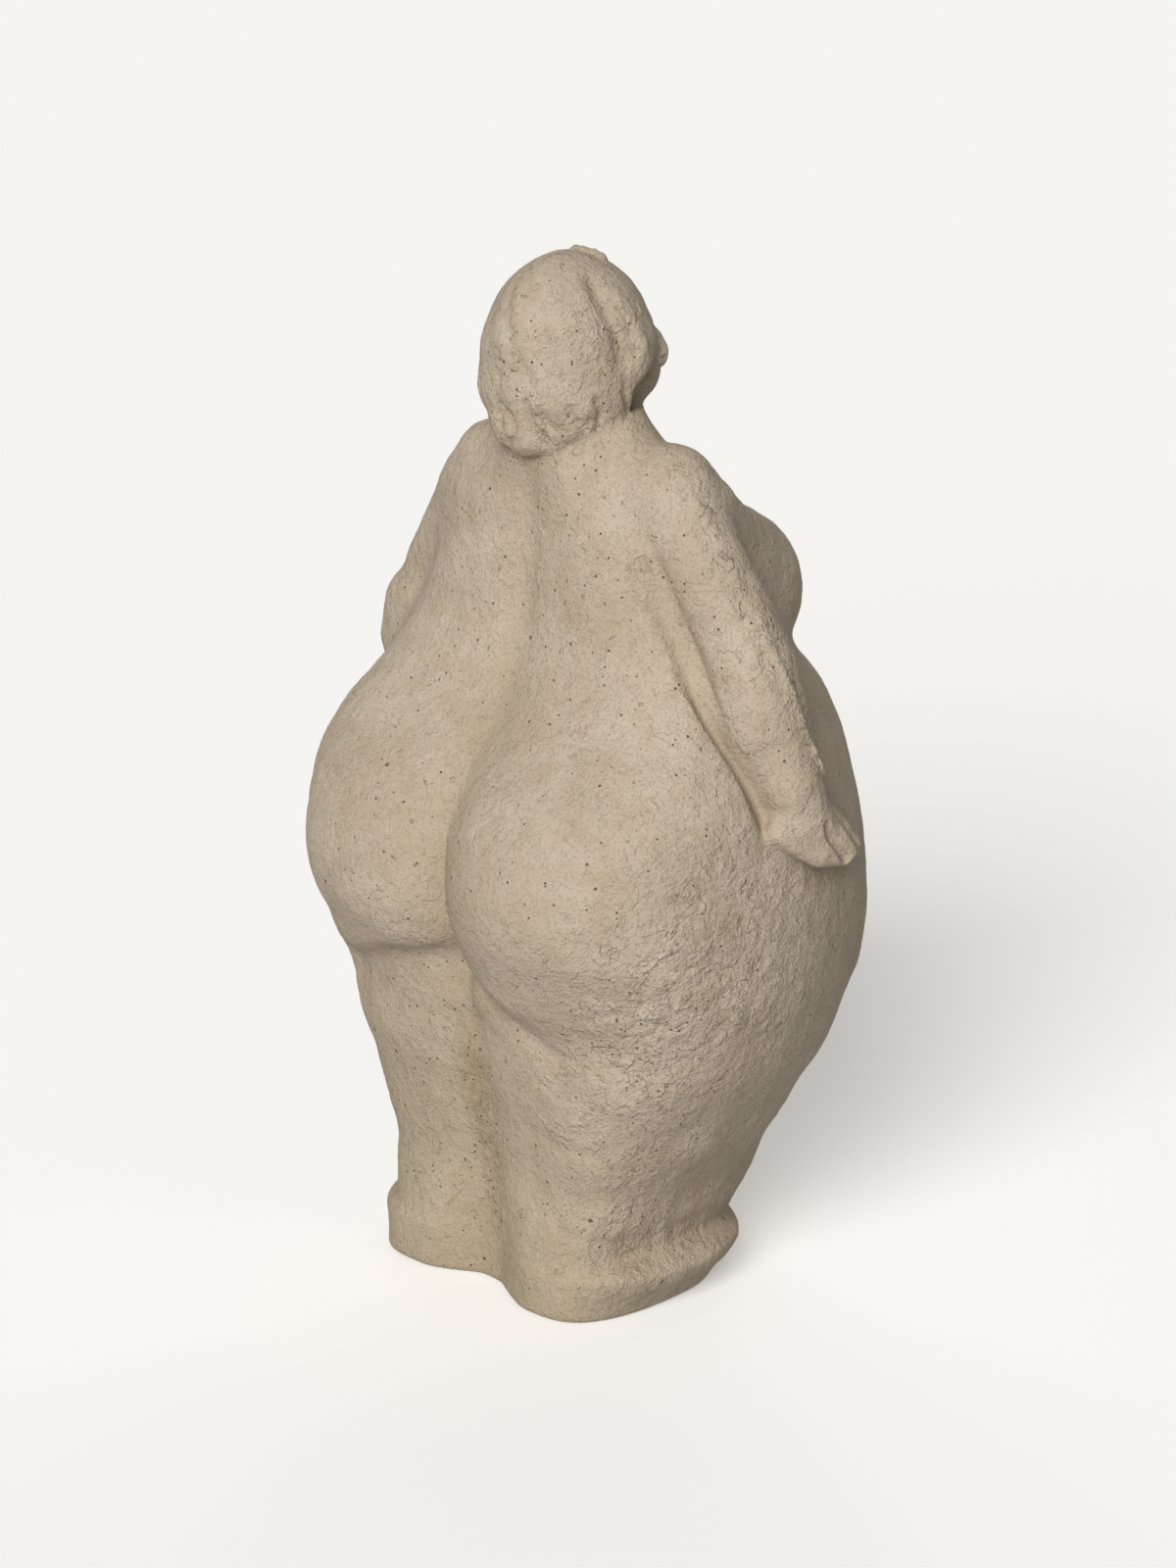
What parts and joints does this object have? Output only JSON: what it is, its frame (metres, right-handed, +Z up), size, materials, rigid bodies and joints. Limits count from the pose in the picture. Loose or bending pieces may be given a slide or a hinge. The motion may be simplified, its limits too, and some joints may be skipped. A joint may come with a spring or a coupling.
{
  "type": "female figurine",
  "caption": "Standing figurine of a very full-bodied woman with bobbed hair and hands on her hips, cast in one piece with a flat underside, for a shelf or table.",
  "frame": {"origin": "on the ground, in the middle of the figurine's outline seen from above", "axes": "+Z up, the figurine faces -Y, her right hand is on -X"},
  "size_m": [0.1784, 0.1484, 0.3001],
  "materials": {
    "cast_clay": "matt beige cast clay and cement, with fine tool ridges, small pinholes and browner hollows"
  },
  "bodies": {
    "root": {"figurine": "cast_clay"}
  },
  "joints": []
}
